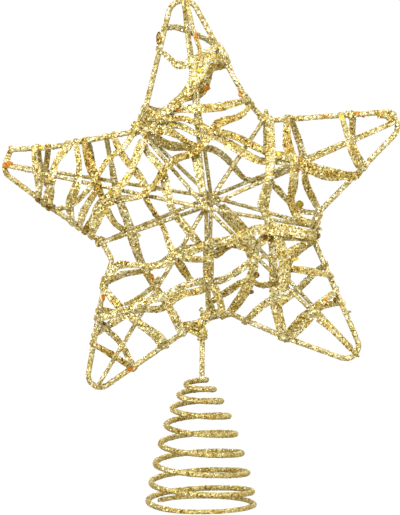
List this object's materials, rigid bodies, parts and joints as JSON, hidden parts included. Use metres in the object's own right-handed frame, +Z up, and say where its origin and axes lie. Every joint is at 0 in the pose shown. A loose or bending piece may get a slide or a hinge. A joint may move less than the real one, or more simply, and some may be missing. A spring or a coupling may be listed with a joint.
{
  "type": "tree topper star",
  "caption": "Open wire star with a rounded outline, crossing ribs and wound vine strips, on a post and a cone-shaped spring that slips over a tree's leader.",
  "frame": {"origin": "centre of the spring's foot ring, on the plane that it rests on", "axes": "+Z up along the tree's leader; the star faces -Y, with +X to its right as seen from the front"},
  "size_m": [0.2022, 0.0576, 0.2599],
  "materials": {
    "gold_wire": "steel wire with a coat of coarse gold glitter",
    "rib_wire": "thin steel wire with a coat of gold glitter",
    "spring_wire": "spring wire with a coat of coarse gold glitter",
    "vine": "flat strips of vine under gold glitter, with larger flakes"
  },
  "bodies": {
    "base": {"foot_spring": "spring_wire"},
    "star": {"rim_wire": "gold_wire", "front_rib_1": "rib_wire", "front_rib_2": "rib_wire", "front_rib_3": "rib_wire", "front_rib_4": "rib_wire", "front_rib_5": "rib_wire", "back_rib_1": "rib_wire", "back_rib_2": "rib_wire", "back_rib_3": "rib_wire", "back_rib_4": "rib_wire", "back_rib_5": "rib_wire", "post_wire": "gold_wire", "post_binding": "vine", "front_vine_top": "vine", "front_vine_centre": "vine", "front_vine_left": "vine", "front_vine_lower_left": "vine", "front_vine_lower_right": "vine", "front_vine_right": "vine", "back_vine_top": "vine", "back_vine_centre": "vine", "back_vine_left": "vine", "back_vine_lower_left": "vine", "back_vine_lower_right": "vine", "back_vine_right": "vine"}
  },
  "joints": [
    {"name": "spring_compression", "type": "slide", "parent": "base", "child": "star", "axis": [0, 0, 1], "range_m": [-0.02, 0], "stiffness_N_per_m": 350, "springref_m": 0.004, "deforming": ["foot_spring"]}
  ]
}
